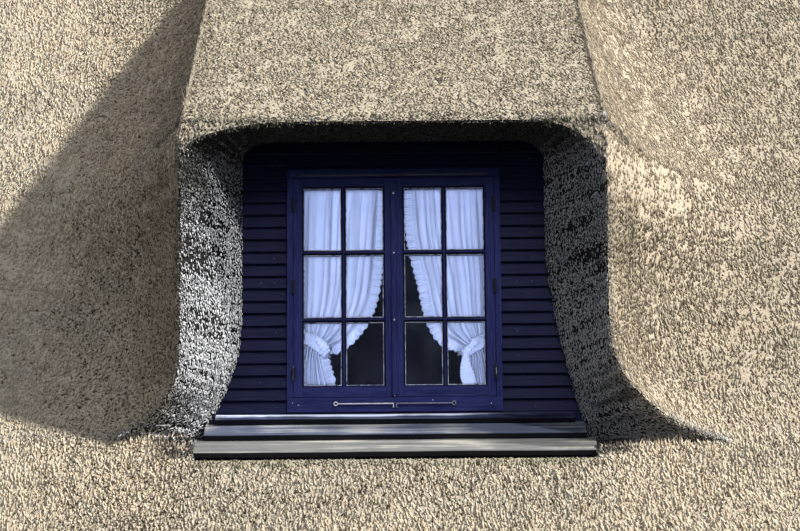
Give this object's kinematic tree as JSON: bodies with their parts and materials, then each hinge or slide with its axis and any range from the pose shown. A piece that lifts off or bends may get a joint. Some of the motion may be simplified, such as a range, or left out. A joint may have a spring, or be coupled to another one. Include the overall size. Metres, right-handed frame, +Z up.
{
  "type": "dormer window in a thatched roof",
  "caption": "Casement dormer window with a lapped board front and sloping plank apron, set in a bay of reed thatch that sweeps over it as a hood with thick cut reveals.",
  "frame": {"origin": "middle of the wall plate's underside, straight below the middle of the window", "axes": "+X along the roof, to the right as seen from outside; +Y into the building; +Z up"},
  "size_m": [5.2, 4.3543, 4.7],
  "materials": {
    "reed": "dry cut reed, bristled, bleached by the sun and greyer below the sill",
    "board_paint": "lapped softwood boards in worn dark navy paint",
    "window_paint": "joinery in satin navy paint",
    "pane": "clear window glass",
    "worn_metal": "worn, half painted steel",
    "grey_plank": "weathered grey planks with traces of paint",
    "roof_timber": "sawn softwood",
    "lining_wood": "planed softwood boards",
    "muslin": "thin white ruffled curtain cloth",
    "rod_wood": "varnished wood"
  },
  "bodies": {
    "root": {"thatch_below": "reed", "thatch_left": "reed", "thatch_right": "reed", "thatch_hood": "reed", "thatch_upper_left": "reed", "thatch_upper_right": "reed", "siding_left": "board_paint", "siding_right": "board_paint", "siding_above": "board_paint", "sill_board": "board_paint", "frame_jamb_left": "window_paint", "frame_jamb_right": "window_paint", "frame_head": "window_paint", "frame_sill": "window_paint", "sash_left": "window_paint", "sash_right": "window_paint", "glass_left": "pane", "glass_right": "pane", "meeting_strip": "window_paint", "hinges": "worn_metal", "stay_left": "worn_metal", "stay_right": "worn_metal", "head_drip": "window_paint", "apron_plank_top": "grey_plank", "apron_plank_middle": "grey_plank", "apron_plank_bottom": "grey_plank", "apron_bearers": "roof_timber", "wall_plate": "roof_timber", "rafters": "roof_timber", "trimmers": "roof_timber", "jack_rafters": "roof_timber", "headers": "roof_timber", "front_posts": "roof_timber", "head_beam": "roof_timber", "sill_beam": "roof_timber", "cheek_left": "roof_timber", "cheek_right": "roof_timber", "hood_rafters": "roof_timber", "battens_below": "roof_timber", "battens_sides": "roof_timber", "battens_hood": "roof_timber", "lining_boards": "lining_wood", "curtain_left": "muslin", "curtain_right": "muslin", "curtain_rod": "rod_wood"}
  },
  "joints": []
}
